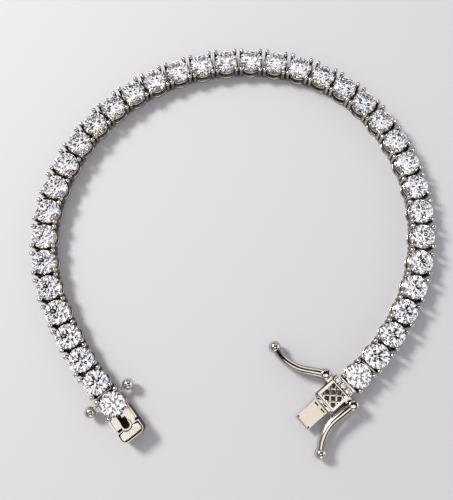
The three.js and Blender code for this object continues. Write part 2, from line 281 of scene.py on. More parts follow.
def made(tree, kind, inputs=(), output=0, **settings):
    """Adds a node and returns one of its outputs."""
    return add_node(tree, kind, inputs, **settings).outputs[output]


def vector_of(tree, x=0.0, y=0.0, z=0.0):
    return made(tree, "ShaderNodeCombineXYZ", {"X": x, "Y": y, "Z": z})


def times(tree, a, b):
    return made(tree, "ShaderNodeMath", {0: a, 1: b}, operation="MULTIPLY")


def plus(tree, a, b):
    return made(tree, "ShaderNodeMath", {0: a, 1: b}, operation="ADD")


def choose(tree, fac, one, two):
    """One where fac is 0, two where it is 1; each is a tone or a socket."""
    one, two = ((*tone, 1) if isinstance(tone, tuple) else tone for tone in (one, two))
    mix = {"Factor": fac, "A": one, "B": two}
    return made(tree, "ShaderNodeMix", mix, "Result", data_type="RGBA")


def ranged(tree, value, start, end, low=0.0, high=1.0):
    """Maps start to end onto low to high."""
    return made(tree, "ShaderNodeMapRange", {
        "Value": value, "From Min": start, "From Max": end, "To Min": low, "To Max": high,
    }, "Result")


# ------------ finishes

# Painted shade: the metal's colour is darkened towards the tone below wherever ambient occlusion finds other
# surfaces within the reach below, in crevices, between parts and near the table.
PAINTED_SHADE_TONE = (0.05, 0.038, 0.03)
PAINTED_SHADE_REACH = 0.0012
PAINTED_SHADE_SAMPLES = 6
SHALLOW_TINT = (0.3, 0.26, 0.24, 1)
DIAMOND_INDEX = 2.42


def new_material(name):
    material = bpy.data.materials.new(name)
    material.use_nodes = True
    tree = material.node_tree
    tree.nodes.clear()
    shader = add_node(tree, "ShaderNodeBsdfPrincipled")
    add_node(tree, "ShaderNodeOutputMaterial", {"Surface": shader.outputs[0]})
    return material, tree, shader, made(tree, "ShaderNodeTexCoord", output="Object")


def noise(tree, where, scale, detail=3.0):
    return made(tree, "ShaderNodeTexNoise", {"Vector": where, "Scale": scale, "Detail": detail}, "Fac")


def mapping(tree, where, **turn):
    """The coordinates scaled or rotated."""
    return made(tree, "ShaderNodeMapping", {"Vector": where, **turn})


def spread(tree, value, low, high):
    """Maps the middle of a noise onto low to high."""
    return ranged(tree, value, 0.3, 0.7, low, high)


def bump(tree, height, strength, distance):
    return made(tree, "ShaderNodeBump", {"Height": height, "Strength": strength, "Distance": distance})


def metal(name, bright, dull, rough, brushed=0.0, metallic=1.0, shaded=(0.02, 0.42)):
    """Cast metal with faint clouding, polishing marks and softer patches, dark in its crevices.

    Shaded gives the openness at which the painted shade in a crevice is darkest and that at which the metal has
    none.
    """
    material, tree, shader, where = new_material(name)
    unshaded = choose(tree, spread(tree, noise(tree, where, scale=420), 0, 1), bright, dull)
    openness = made(
        tree, "ShaderNodeAmbientOcclusion", {"Distance": PAINTED_SHADE_REACH}, "AO", samples=PAINTED_SHADE_SAMPLES
    )
    softer = noise(tree, where, scale=900)
    marks = noise(tree, mapping(tree, where, Scale=(1, 6, 1)), scale=5200, detail=6)
    fill(tree, shader, {
        # painted shade: the colour goes towards the dark tone where the surface is closed in
        "Base Color": choose(tree, ranged(tree, openness, *shaded), PAINTED_SHADE_TONE, unshaded),
        "Roughness": spread(tree, softer, rough * 0.6, rough * 1.6 + brushed),
        "Normal": bump(tree, marks, strength=0.05 + brushed, distance=0.00002),
        "Metallic": metallic, "Specular Tint": SHALLOW_TINT, "Specular IOR Level": metallic / 2,
    })
    return material


def satin(name, bright, dull, rough):
    """Finely brushed strip: straight hairlines, and hardly any change of tone between them."""
    material, tree, shader, where = new_material(name)
    along_block = mapping(tree, where, Rotation=(0, 0, -BLOCK_HEADING))
    hairlines = noise(tree, mapping(tree, along_block, Scale=(1, 14, 1)), scale=1300, detail=5)
    fill(tree, shader, {
        "Base Color": choose(tree, spread(tree, hairlines, 0, 1), dull, bright),
        "Roughness": spread(tree, hairlines, rough * 0.9, rough * 1.1),
        "Normal": bump(tree, hairlines, strength=0.12, distance=0.00001),
        "Metallic": 1.0,
    })
    return material


def gem(name, tint):
    """Clear stone of diamond's refraction, with a trace of uneven tint."""
    material, tree, shader, where = new_material(name)
    cloud = spread(tree, noise(tree, where, scale=300, detail=1), 0, 1)
    fill(tree, shader, {
        "Base Color": choose(tree, cloud, (1, 1, 1), tint),
        "Roughness": 0.0, "IOR": DIAMOND_INDEX, "Transmission Weight": 1.0,
    })
    return material


def table_top(name, tone, darker):
    """Matt painted board: slow changes of tone and a fine grain."""
    material, tree, shader, where = new_material(name)
    cloud = spread(tree, noise(tree, where, scale=9, detail=2), 0, 1)
    fill(tree, shader, {
        "Base Color": choose(tree, cloud, tone, darker),
        "Normal": bump(tree, noise(tree, where, scale=1800), strength=0.03, distance=0.00005),
        "Roughness": 0.75,
    })
    return material


def finishes():
    """The materials, made once and found by name after that."""
    finish = bpy.context.scene.bracelet_finish

    def tone(field, share_kept=1.0):
        return tuple(channel * share_kept for channel in getattr(finish, field))

    makers = {
        "white_gold": lambda name: metal(name, tone("metal"), tone("metal_dull"), finish.polish),
        "brushed_gold": lambda name: satin(name, tone("tongue"), tone("tongue_dull"), rough=0.34),
        "cast_gold": lambda name: metal(
            name, tone("cast"), tone("cast_dark"),
            rough=0.45, brushed=0.1, metallic=0.4, shaded=(0.0, 0.7),
        ),
        # Painted shade: near-black metal, darkened further by ambient occlusion, for the hollows where shade
        # falls.
        "recess_gold": lambda name: metal(
            name, tone("recess"), tone("recess", 0.7),
            rough=0.5, brushed=0.1, metallic=0.25, shaded=(0.3, 0.9),
        ),
        "brilliant": lambda name: gem(name, tone("stone")),
        "table_top": lambda name: table_top(name, tone("table"), tone("table", 0.985)),
    }
    return {name: bpy.data.materials.get(name) or make(name) for name, make in makers.items()}


# ------------ mesh helpers, in millimetres


def mesh_from(build, turn_outwards=True):
    """A mesh made by a function that fills a bmesh."""
    solid = bmesh.new()
    build(solid)
    if turn_outwards:
        bmesh.ops.recalc_face_normals(solid, faces=solid.faces)
    mesh = bpy.data.meshes.new("part")
    solid.to_mesh(mesh)
    solid.free()
    return mesh


def linked(data, name="part"):
    """A new object in the scene."""
    piece = bpy.data.objects.new(name, data)
    bpy.context.scene.collection.objects.link(piece)
    return piece


def evaluated(piece):
    """The piece's mesh with its modifiers applied; the piece itself is removed."""
    bpy.context.view_layer.update()
    graph = bpy.context.evaluated_depsgraph_get()
    mesh = bpy.data.meshes.new_from_object(piece.evaluated_get(graph))
    bpy.data.objects.remove(piece)
    return mesh


def combine(mesh, others, operation):
    piece = linked(mesh)
    cutters = [linked(other) for other in others]
    for cutter in cutters:
        modifier = piece.modifiers.new("combine", "BOOLEAN")
        modifier.operation = operation
        modifier.solver = "EXACT"
        modifier.object = cutter
    result = evaluated(piece)
    for cutter in cutters:
        bpy.data.objects.remove(cutter)
    return result


def soften(mesh, width, segments=3):
    piece = linked(mesh)
    modifier = piece.modifiers.new("soften", "BEVEL")
    modifier.width = width
    modifier.segments = segments
    modifier.limit_method = "ANGLE"
    modifier.angle_limit = BEVEL_ANGLE
    modifier.use_clamp_overlap = True
    return evaluated(piece)


def joined(meshes):
    def build(solid):
        for mesh in meshes:
            solid.from_mesh(mesh)

    return mesh_from(build, turn_outwards=False)


def moved(mesh, place):
    mesh.transform(place)
    return mesh


def shift(x, y, z):
    return Matrix.Translation((x, y, z))


def prism(outline, z0, z1):
    """A solid from a closed outline of (x, y)."""

    def build(solid):
        rim = [solid.verts.new((x, y, z0)) for x, y in outline]
        face = solid.faces.new(rim)
        top = bmesh.ops.extrude_face_region(solid, geom=[face])
        lifted = [v for v in top["geom"] if isinstance(v, bmesh.types.BMVert)]
        bmesh.ops.translate(solid, verts=lifted, vec=(0, 0, z1 - z0))

    return mesh_from(build)


def slab(x0, x1, y0, y1, z0, z1):
    return prism([(x0, y0), (x1, y0), (x1, y1), (x0, y1)], z0, z1)


def arc(x, y, radius, start, end, steps=8):
    angles = [math.radians(start + (end - start) * k / steps) for k in range(steps + 1)]
    return [(x + radius * math.cos(a), y + radius * math.sin(a)) for a in angles]


def rounded(x0, x1, width, near, far):
    """A rectangle's outline with one corner radius at x0 and another at x1."""
    half = width / 2
    return (
        arc(x1 - far, -half + far, far, -90, 0)
        + arc(x1 - far, half - far, far, 0, 90)
        + arc(x0 + near, half - near, near, 90, 180)
        + arc(x0 + near, -half + near, near, 180, 270)
    )


def ring_angles(sides):
    return [2 * math.pi * k / sides for k in range(sides)]


def skin(solid, rows, sides):
    """Makes the faces between neighbouring rows; a row of one vertex is a point on the axis."""
    for below, above in zip(rows, rows[1:]):
        for k in range(sides):
            n = (k + 1) % sides
            corners = ((below, k), (below, n), (above, n), (above, k))
            solid.faces.new(list(dict.fromkeys(row[step % len(row)] for row, step in corners)))


def turned(profile, sides):
    """A solid turned about Z from (radius, z); the profile starts and ends on the axis."""

    def build(solid):
        rows = []
        for radius, z in profile:
            angles = ring_angles(sides) if radius else [0]
            spots = [(radius * math.cos(a), radius * math.sin(a), z) for a in angles]
            rows.append([solid.verts.new(spot) for spot in spots])
        skin(solid, rows, sides)

    return mesh_from(build)


def drum(radius, z0, z1, sides, at=(0, 0, 0)):
    """A short upright cylinder."""
    return moved(turned([(0, z0), (radius, z0), (radius, z1), (0, z1)], sides), shift(*at))


def ball(radius, sides=32):
    steps = sides // 2
    rises = [math.pi * k / steps for k in range(1, steps)]
    round_side = [(radius * math.sin(rise), -radius * math.cos(rise)) for rise in rises]
    return turned([(0, -radius), *round_side, (0, radius)], sides)


def swept(centres, widths, heights, sides=20):
    """A closed bar along level centres, with its own width and height at each."""

    def build(solid):
        rows = []
        for k, centre in enumerate(centres):
            ahead = centres[min(k + 1, len(centres) - 1)]
            behind = centres[max(k - 1, 0)]
            along = (ahead - behind) * Vector((1, 1, 0))
            side = Vector((-along.y, along.x, 0)).normalized()
            across, up = side * (widths[k] / 2), Vector((0, 0, heights[k] / 2))
            spots = [centre + across * math.cos(a) + up * math.sin(a) for a in ring_angles(sides)]
            rows.append([solid.verts.new(spot) for spot in spots])
        skin(solid, rows, sides)
        solid.faces.new(rows[0])
        solid.faces.new(rows[-1])

    return mesh_from(build)


def finished_piece(name, mesh, material, inside=None):
    """Names a millimetre mesh and gives it its finish.

    Inside is a part's place, a test of (point, normal) there, and the finish of faces that pass.
    """
    mesh.name = name
    mesh.materials.clear()
    mesh.materials.append(material)
    if inside:
        place, test, finish = inside
        mesh.materials.append(finishes()[finish])
        into_part = place.inverted()
        for face in mesh.polygons:
            face.material_index = int(test(into_part @ face.center, into_part.to_3x3() @ face.normal))
    mesh.transform(Matrix.Scale(MM, 4))
    for face in mesh.polygons:
        face.use_smooth = True
    mesh.set_sharp_from_angle(angle=SHARP_ANGLE)
    carrier = linked(mesh)
    flatten = carrier.modifiers.new("keep flats flat", "WEIGHTED_NORMAL")
    flatten.keep_sharp = True
    flatten.weight = FLAT_WEIGHT
    mesh = evaluated(carrier)
    mesh.name = name
    return linked(mesh, name)


# ------------ settings, by Geometry Nodes

SETTING_INPUTS = list(BRACELET_PG_setting.__annotations__)
WIRE_SIDES = 14
PRONG_FOOT = 0.03
BEAD_SEGMENTS = 18
BEAD_RINGS = 11
BEAD_SHAPE = (1.0, 1.0, 0.92)
RING_STEPS = 56
RING_ROUNDING = 0.14
SIDE_GAP = 0.06
SIDE_BARREL = 0.34
STRAP = 0.5
PLATE_THICKNESS = 0.16
PLATE_FOOT = 0.15


def setting_tree():
    """One four-prong setting, built from named sizes and copied to every link."""
    tree = bpy.data.node_groups.new("four_prong_settings", "GeometryNodeTree")
    tree.interface.new_socket("Links", in_out="INPUT", socket_type="NodeSocketGeometry")
    for name in SETTING_INPUTS:
        tree.interface.new_socket(name, in_out="INPUT", socket_type="NodeSocketFloat")
    tree.interface.new_socket("Metal", in_out="INPUT", socket_type="NodeSocketMaterial")
    tree.interface.new_socket("Settings", in_out="OUTPUT", socket_type="NodeSocketGeometry")
    entry = add_node(tree, "NodeGroupInput").outputs
    size = {name: entry[name] for name in SETTING_INPUTS}

    parts = [prong_nodes(tree, size)]
    parts += [ring_nodes(tree, size, level) for level in ("upper", "lower", "basket")]
    setting = join_nodes(tree, parts + hinge_nodes(tree, size))

    facing = made(
        tree, "GeometryNodeInputNamedAttribute", {"Name": "heading"}, "Attribute", data_type="FLOAT"
    )
    turn = made(tree, "FunctionNodeEulerToRotation", {0: vector_of(tree, z=facing)})
    copies = made(tree, "GeometryNodeInstanceOnPoints", {
        "Points": entry["Links"], "Instance": setting, "Rotation": turn,
    })
    real = made(tree, "GeometryNodeRealizeInstances", {"Geometry": copies})
    coated = made(tree, "GeometryNodeSetMaterial", {"Geometry": real, "Material": entry["Metal"]})
    add_node(tree, "NodeGroupOutput", {"Settings": coated})
    return tree


def join_nodes(tree, parts):
    join = add_node(tree, "GeometryNodeJoinGeometry")
    for part in parts:
        tree.links.new(part, join.inputs[0])
    return join.outputs[0]


def moved_nodes(tree, geometry, at, **more):
    return made(tree, "GeometryNodeTransform", {"Geometry": geometry, "Translation": at, **more})


def tube_nodes(tree, start, end, radius):
    line = made(tree, "GeometryNodeCurvePrimitiveLine", {"Start": start, "End": end})
    section = made(
        tree, "GeometryNodeCurvePrimitiveCircle", {"Resolution": WIRE_SIDES, "Radius": radius}
    )
    return made(tree, "GeometryNodeCurveToMesh", {
        "Curve": line, "Profile Curve": section, "Fill Caps": True,
    })


def prong_nodes(tree, size):
    """A wire with a bead that leans outwards across the bracelet, copied to the four corners."""
    foot = vector_of(tree, y=times(tree, size["prong_lean"], -1.0), z=PRONG_FOOT)
    tip = vector_of(tree, z=size["bead_height"])
    wire = tube_nodes(tree, foot, tip, size["prong_radius"])
    sphere = made(tree, "GeometryNodeMeshUVSphere", {
        "Segments": BEAD_SEGMENTS, "Rings": BEAD_RINGS, "Radius": size["bead_radius"],
    })
    prong = join_nodes(tree, [wire, moved_nodes(tree, sphere, tip, Scale=BEAD_SHAPE)])
    corners = made(tree, "GeometryNodeMeshGrid", {
        "Size X": times(tree, size["prong_along"], 2.0),
        "Size Y": times(tree, size["prong_across"], 2.0),
        "Vertices X": 2, "Vertices Y": 2,
    })
    position = made(tree, "GeometryNodeInputPosition")
    side = made(tree, "ShaderNodeSeparateXYZ", {"Vector": position}, "Y")
    facing = made(
        tree, "FunctionNodeAlignRotationToVector", {"Vector": vector_of(tree, y=side)},
        axis="Y", pivot_axis="Z",
    )
    return made(tree, "GeometryNodeInstanceOnPoints", {
        "Points": corners, "Instance": prong, "Rotation": facing,
    })


def ring_nodes(tree, size, level):
    """A level ring of rounded wire, from the sizes whose names start with the level's."""
    circle = made(tree, "GeometryNodeCurvePrimitiveCircle", {
        "Resolution": RING_STEPS, "Radius": size[level + "_radius"],
    })
    lifted = moved_nodes(tree, circle, vector_of(tree, z=size[level + "_height"]))
    section = made(tree, "GeometryNodeCurvePrimitiveQuadrilateral", {
        "Width": size[level + "_width"], "Height": size[level + "_depth"],
    })
    eased = made(tree, "GeometryNodeFilletCurve", {
        "Curve": section, "Radius": RING_ROUNDING, "Count": 4, "Limit Radius": True,
    }, mode="POLY")
    return made(tree, "GeometryNodeCurveToMesh", {"Curve": lifted, "Profile Curve": eased})


def hinge_nodes(tree, size):
    """A middle barrel and an upright plate ahead, two side barrels behind; each barrel has a neck."""
    half = times(tree, size["hinge_width"], 0.5)
    reach, height, radius = size["hinge_reach"], size["hinge_height"], size["hinge_radius"]
    parts = [barrel_nodes(tree, reach, times(tree, half, -1.0), half, height, radius)]
    parts.append(neck_nodes(tree, reach, 0.0, size["hinge_width"], height, radius, 1.0))
    back = times(tree, reach, -1.0)
    for side in (-1.0, 1.0):
        near, middle, far = (
            times(tree, plus(tree, half, SIDE_GAP + SIDE_BARREL * step), side) for step in (0, 0.5, 1)
        )
        parts.append(barrel_nodes(tree, back, near, far, height, radius))
        parts.append(neck_nodes(tree, back, middle, SIDE_BARREL, height, radius, -1.0))
    middle = plus(tree, times(tree, size["plate_depth"], 0.5), PLATE_FOOT)
    plate = vector_of(tree, PLATE_THICKNESS, size["plate_width"], size["plate_depth"])
    return parts + [block_nodes(tree, plate, vector_of(tree, reach, z=middle))]


def block_nodes(tree, size, middle):
    return moved_nodes(tree, made(tree, "GeometryNodeMeshCube", {"Size": size}), middle)


def barrel_nodes(tree, x, y0, y1, height, radius):
    return tube_nodes(tree, vector_of(tree, x, y0, height), vector_of(tree, x, y1, height), radius)


def neck_nodes(tree, x, y, width, height, radius, side):
    """A short strap from a barrel back to the lower ring."""
    size = vector_of(tree, STRAP, width, times(tree, radius, 1.2))
    return block_nodes(tree, size, vector_of(tree, plus(tree, x, -STRAP / 2 * side), y, height))


def settings_mesh(places):
    """The settings at these (place, heading) pairs, as one plain millimetre mesh."""
    points = bpy.data.meshes.new("links")
    points.from_pydata([tuple(at) for at, _ in places], [], [])
    facing = points.attributes.new("heading", "FLOAT", "POINT")
    for k, (_, angle) in enumerate(places):
        facing.data[k].value = angle
    carrier = linked(points)
    modifier = carrier.modifiers.new("settings", "NODES")
    modifier.node_group = bpy.data.node_groups.get("four_prong_settings") or setting_tree()
    sizes = Sizes("bracelet_setting")
    for socket in modifier.node_group.interface.items_tree:
        if socket.in_out == "INPUT" and socket.name in SETTING_INPUTS:
            modifier[socket.identifier] = getattr(sizes, socket.name)
        elif socket.name == "Metal":
            modifier[socket.identifier] = finishes()["white_gold"]
    mesh = evaluated(carrier)
    mesh.materials.clear()

    def build(solid):
        solid.from_mesh(mesh)
        bmesh.ops.remove_doubles(solid, verts=solid.verts, dist=MERGE_DISTANCE)

    return mesh_from(build)


def basket_shade_test(centres):
    """A test for the basket walls under the stones at these centres, whose faces get painted shade."""
    size = Sizes("bracelet_setting")
    reach = size.basket_radius + size.basket_width / 2 + 0.02

    def test(at, facing):
        near = any((at - centre).xy.length < reach for centre in centres)
        return near and abs(at.z - size.basket_height) < size.basket_depth / 2 + 0.02

    return test


class BRACELET_OT_settings(bpy.types.Operator):
    """Make the four-prong settings of all links but the first, one piece for each run"""

    bl_idname = "bracelet.settings"
    bl_label = "Settings"

    def execute(self, context):
        per_run = (len(LINKS) - 1) // len(RUNS)
        metal_finish = finishes()["white_gold"]
        for k, run in enumerate(RUNS):
            links = LINKS[1 + k * per_run:1 + (k + 1) * per_run]
            # The basket walls take the painted shade finish.
            basket = (Matrix.Identity(4), basket_shade_test([at for at, _ in links]), "recess_gold")
            piece = finished_piece(f"settings_{k + 1}", settings_mesh(links), metal_finish, basket)
            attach(piece, BODY)
            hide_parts(run)
        return {"FINISHED"}


# ------------ stones


class BRACELET_OT_stones(bpy.types.Operator):
    """Give the brilliants and the accent stones their clear finish"""

    bl_idname = "bracelet.stones"
    bl_label = "Stones"

    def execute(self, context):
        for name in STONES + ACCENTS:
            mesh = NODES[name].data
            mesh.materials.clear()
            mesh.materials.append(finishes()["brilliant"])
        return {"FINISHED"}


# ------------ box clasp


def stud_parts(size, side):
    """A ball on a short stem with a small foot, out of the first setting's side."""
    stem = turned([(0, 0), (0.5, 0), (0.5, 0.14), (0.34, 0.34), (0.34, 1.5), (0, 1.5)], 20)
    outwards = Matrix.Rotation(-side * math.pi / 2, 4, "X")
    foot = shift(-size.stud_back, side * 1.62, size.stud_height)
    knob = shift(-size.stud_back, side * size.stud_reach, size.stud_height)
    return [moved(stem, foot @ outwards), moved(ball(size.stud_ball), knob)]


def slot_round(size, margin, z0, z1):
    """A disc round the slot's end, wider than it by the margin."""
    radius = size.slot_width / 2
    return drum(radius + margin, z0, z1, 48, (size.slot_end - radius, 0, 0))


def box_shell(size):
    """The box with its open mouth, slot, side notches and grooved collar."""
    half, back, mouth, top = size.width / 2, size.collar_start, size.end, size.collar_height
    collar_foot, rim, slot_half = 2.3, 0.12, size.slot_width / 2
    body = prism(rounded(size.start, mouth, size.width, 0.05, 0.85), 0, size.height)
    collar = prism(rounded(back, mouth, size.width, 0.12, 0.85), collar_foot, top)
    body = combine(body, [collar, slot_round(size, 2 * rim, collar_foot, top)], "UNION")
    well = drum(2.06, -0.1, ABOVE, 48)
    cavity = slab(2.5, mouth + 1, -1.5, 1.5, 0.55, 2.1)
    slot = prism(rounded(1.8, size.slot_end, size.slot_width, 0.1, slot_half - 0.01), 0.6, ABOVE)
    notches = [
        slab(back - 0.44, back - 0.02, -half - 0.1, -slot_half - 0.2, 0.8, ABOVE),
        slab(back - 0.4, back - 0.02, half - 0.52, half + 0.1, 0.8, ABOVE),
    ]
    lines = [
        slab(size.start - 0.1, back + 0.02, y - 0.04, y + 0.04, 2.42, ABOVE)
        for y in (0.26 - half, half - 0.26)
    ]
    trench = prism(rounded(back + rim, mouth - rim, size.width - 2 * rim, 0.2, 0.74), 2.55, ABOVE)
    trench = combine(trench, [slot_round(size, 2 * rim, 2.4, ABOVE + 0.1)], "DIFFERENCE")
    return soften(combine(body, [well, cavity, slot, *notches, *lines, trench], "DIFFERENCE"), 0.045)


def pad(size):
    """The plain raised plate inside the collar, with a long sloping front edge."""
    inset = 0.28
    x0, x1, top = size.collar_start + inset, size.end - inset, size.collar_height + 0.02
    plate = prism(rounded(x0, x1, size.width - 2 * inset, 0.45, 0.6), 2.4, top)
    tilt = Matrix.Rotation(math.radians(36), 4, "Y")
    slope = moved(slab(0, 2, -3, 3, 0, 1), shift(x1 - 0.22, 0, top) @ tilt)
    return soften(combine(plate, [slope, slot_round(size, 0.4, 2, 3.3)], "DIFFERENCE"), 0.05)


class BRACELET_OT_box_clasp(bpy.types.Operator):
    """Make the first setting, its studs and the box that takes the tongue"""

    bl_idname = "bracelet.box_clasp"
    bl_label = "Box clasp"

    def execute(self, context):
        size = Sizes("bracelet_box")
        parts = [settings_mesh([(Vector((0, 0, 0)), math.pi)]), box_shell(size), pad(size)]
        parts += stud_parts(size, 1) + stud_parts(size, -1)

        # Faces in the hollow, the side notches and the collar's groove get painted shade.
        def in_cavity(at, facing):
            past_collar, within = at.x - size.collar_start, size.width / 2 - abs(at.y)
            hollow = 2.2 < at.x < size.end - 0.1 and abs(at.y) < 1.56 and 0.5 < at.z < 2.2
            notch = -0.46 < past_collar < 0 and within > 0.06 and 0.7 < at.z < 2.5
            groove = past_collar > 0 and 2.35 < at.z < 2.58 and facing.z > 0.5
            return hollow or notch or groove

        mesh = moved(joined(parts), BOX_PLACE)
        recess = (BOX_PLACE, in_cavity, "recess_gold")
        piece = finished_piece("clasp_box", mesh, finishes()["white_gold"], recess)
        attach(piece, BODY)
        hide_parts("box_clasp")
        return {"FINISHED"}


# ------------ clasp block and tongue


def block_place(size):
    """The block's frame: its origin is one pivot distance behind the latch pins."""
    return turn_place(BLOCK_AT, BLOCK_HEADING) @ shift(-size.pivot, 0, 0)


def lattice(size):
    """Crossed diagonal bars, wider at the foot; one set stands half a step off the other."""
    reach = size.window_length / math.sqrt(2)
    middle = (size.window_start + size.window_length / 2, 0, 0)
    foot, low, high = 0.6, 1.95, 2.66
    bars = []
    for slope, offsets in ((1, (-1.5, -0.5, 0.5, 1.5)), (-1, (-1, 0, 1))):
        place = turn_place(middle, slope * math.pi / 4)
        for offset in offsets:
            off = offset * size.lattice_step
            half = reach - abs(off) + 0.1
            bar = slab(-half, half, -foot / 2, foot / 2, low, high)
            for corner in bar.vertices:
                if corner.co.z > (low + high) / 2:
                    corner.co.y *= size.wire / foot
            bars.append(moved(soften(bar, 0.09), place @ shift(0, off, 0)))
    return bars


def lug(size, side):
    """A flat ear that carries a latch's pin in its eye."""
    half, thick = 0.55, 0.34
    pin = (size.pivot, side * PIVOT_SPREAD, PIVOT_Z)
    root, tip = sorted((side * (size.width / 2 - 0.2), side * PIVOT_SPREAD))
    web = slab(size.pivot - half, size.pivot + half, root, tip, PIVOT_Z - thick, PIVOT_Z + thick)
    ear = drum(0.7, -thick, thick, 40, pin)
    eye = drum(0.36, -1, 1, 32, pin)
    return soften(combine(combine(web, [ear], "UNION"), [eye], "DIFFERENCE"), 0.05, 2)


def accent_spots(size):
    """The accent stones' middles in plan, in the block's frame."""
    into_block = block_place(size).inverted()
    return [(into_block @ centre_of(name)) * Vector((1, 1, 0)) for name in ACCENTS]


def block_body(size):
    """The block with its window, the hollow below, the accent stones' wells and two grooves across."""
    x0, x1 = size.window_start, size.window_start + size.window_length
    half, wall = size.window_length / 2, 0.4
    inner = size.width / 2 - wall
    body = prism(rounded(size.start, size.end, size.width, 0.15, 0.3), 0, size.height)
    window = slab(x0, x1, -half, half, 2.05, ABOVE)
    hollow = slab(x0 - 0.05, size.end - wall, -inner, inner, -0.1, 1.75)
    wells = [drum(0.56, size.height - 0.95, ABOVE, 32, at) for at in accent_spots(size)]
    grooves = [slab(x, x + 0.12, -2, 2, 2.3, ABOVE) for x in (size.end - 0.24, x0 - 0.27)]
    return soften(combine(body, [window, hollow, *grooves, *wells], "DIFFERENCE"), 0.045)


def accent_beads(size):
    """Small beads between the accent stones, in pairs."""
    spots = accent_spots(size)
    pitch = (spots[1] - spots[0]).length
    x, y, z = spots[0].x, spots[0].y - pitch / 2, size.height + 0.02
    return [
        moved(ball(0.17, 14), shift(x + along, y + k * pitch, z))
        for k in range(len(spots) + 1)
        for along in (-0.36, 0.36)
    ]


def end_bars(size):
    """Two small bright bars across the block's tongue end, with a gap between them."""
    return [
        soften(slab(size.end - 0.1, size.end + 0.38, low, high, 2.2, size.height - 0.05), 0.05)
        for low, high in ((-1.42, -0.1), (0.1, 1.42))
    ]


class BRACELET_OT_clasp_block(bpy.types.Operator):
    """Make the block with its lattice window, accent row and latch ears"""

    bl_idname = "bracelet.clasp_block"
    bl_label = "Clasp block"

    def execute(self, context):
        size = Sizes("bracelet_block")
        parts = [block_body(size), *lattice(size), lug(size, 1), lug(size, -1)]
        parts += accent_beads(size) + end_bars(size)
        place = block_place(size)
        half = size.window_length / 2
        middle = size.window_start + half

        def under_lattice(at, facing):
            return abs(at.x - middle) < half and abs(at.y) < half and 1.9 < at.z < 2.1

        mesh = moved(joined(parts), place)
        floor = (place, under_lattice, "cast_gold")
        piece = finished_piece("lattice_block", mesh, finishes()["white_gold"], floor)
        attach(piece, BODY)
        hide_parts("clasp_block")
        return {"FINISHED"}


def tongue_mesh(size):
    """A strip folded at the tip, with two release slots and pierced corners."""
    low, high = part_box("tongue")
    bottom, top = low.z / MM, high.z / MM
    leaf, fold = 0.33, 0.42
    x0, x1 = size.tongue_end - 4.15, size.tongue_end
    fold_x, fold_z = x1 - fold, bottom + fold
    side = [(x0, bottom), (fold_x, bottom)]
    side += arc(fold_x, fold_z, fold, -90, 90, 12)[1:]
    side += [(x0, top), (x0, top - leaf)]
    side += arc(fold_x, fold_z, fold - leaf, 90, -90, 6)
    side += [(x0, bottom + leaf)]
    half = size.tongue_width / 2
    strip = prism(side, -half, half)
    strip.transform(Matrix.Rotation(math.pi / 2, 4, "X"))
    slots = [slab(x0 + 0.22, x0 + 0.46, y - 0.4, y + 0.4, 1.5, 2.4) for y in (-0.7, 0.7)]
    holes = [drum(0.15, 0, 1.2, 16, (x1 - 0.46, y, 1.25)) for y in (-half + 0.24, half - 0.24)]
    panel = slab(x0 + 0.5, x1 - 0.42, -half + 0.17, half - 0.17, top - 0.05, top + 1)
    return soften(combine(strip, [*slots, *holes, panel], "DIFFERENCE"), 0.04)


class BRACELET_OT_tongue(bpy.types.Operator):
    """Make the folded spring tongue"""

    bl_idname = "bracelet.tongue"
    bl_label = "Tongue"

    def execute(self, context):
        size = Sizes("bracelet_block")
        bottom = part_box("tongue")[0].z / MM

        # Faces inside the fold get painted shade.
        def in_fold(at, facing):
            between = at.z < bottom + 0.36 if facing.z > 0.5 else at.z > bottom + 0.2
            off_edges = at.x < size.tongue_end - 0.3 and abs(at.y) < size.tongue_width / 2 - 0.05
            return between and off_edges

        place = block_place(size)
        mesh = moved(tongue_mesh(size), place)
        recess = (place, in_fold, "recess_gold")
        piece = finished_piece("folded_tongue", mesh, finishes()["brushed_gold"], recess)
        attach(piece, BODY)
        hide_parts("tongue")
        return {"FINISHED"}


# ------------ latches


def latch_mesh(size, side):
    """Two stacked wires from the pinned knuckles to one ball; outwards is +Y for side 1."""
    bend = bpy.context.scene.bracelet_latch.bend_turn
    total = size.straight + size.bend_radius * bend
    root_rise, tip_rise, root_height, steps = 0.93, 0.34, 0.94, 28
    arms = []
    for level in (-1, 1):
        centres, widths, heights = [], [], []
        for k in range(steps + 1):
            t = k / steps
            along = t * total
            turn = max(along - size.straight, 0) / size.bend_radius
            x = min(along, size.straight) + size.bend_radius * math.sin(turn)
            y = side * size.bend_radius * (1 - math.cos(turn))
            rise = root_rise + (tip_rise - root_rise) * t ** 2
            centres.append(Vector((x, y, level * rise)))
            widths.append(size.root_width + (size.tip_width - size.root_width) * t)
            heights.append(root_height - 0.1 * t)
        arms.append(swept(centres, widths, heights))
    tip = centres[-1] * Vector((1, 1, 0))
    beyond = Vector((math.cos(bend), side * math.sin(bend), 0)) * 0.6
    knob = moved(ball(size.ball), Matrix.Translation(tip + beyond))
    return joined([*arms, knob, knuckles(size)])


def knuckles(size):
    """The round knuckles above and below the ear, and the pin between them."""
    r = size.knuckle
    upper = [(0.25, 0.46), (r * 0.88, 0.46), (r, 0.6), (r, 1.12), (r * 0.96, 1.27)]
    upper += [(r * 0.86, 1.38), (r * 0.7, 1.46), (r * 0.45, 1.51), (0, 1.53)]
    lower = [(radius, -z) for radius, z in reversed(upper)]
    return turned(lower + upper, 36)


def make_latch(name, side, pivot, open_turn, node):
    size = Sizes("bracelet_latch")
    place = turn_place(pivot, BLOCK_HEADING + side * open_turn)
    piece = finished_piece(name, moved(latch_mesh(size, side), place), finishes()["white_gold"])
    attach(piece, node)
    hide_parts(node)


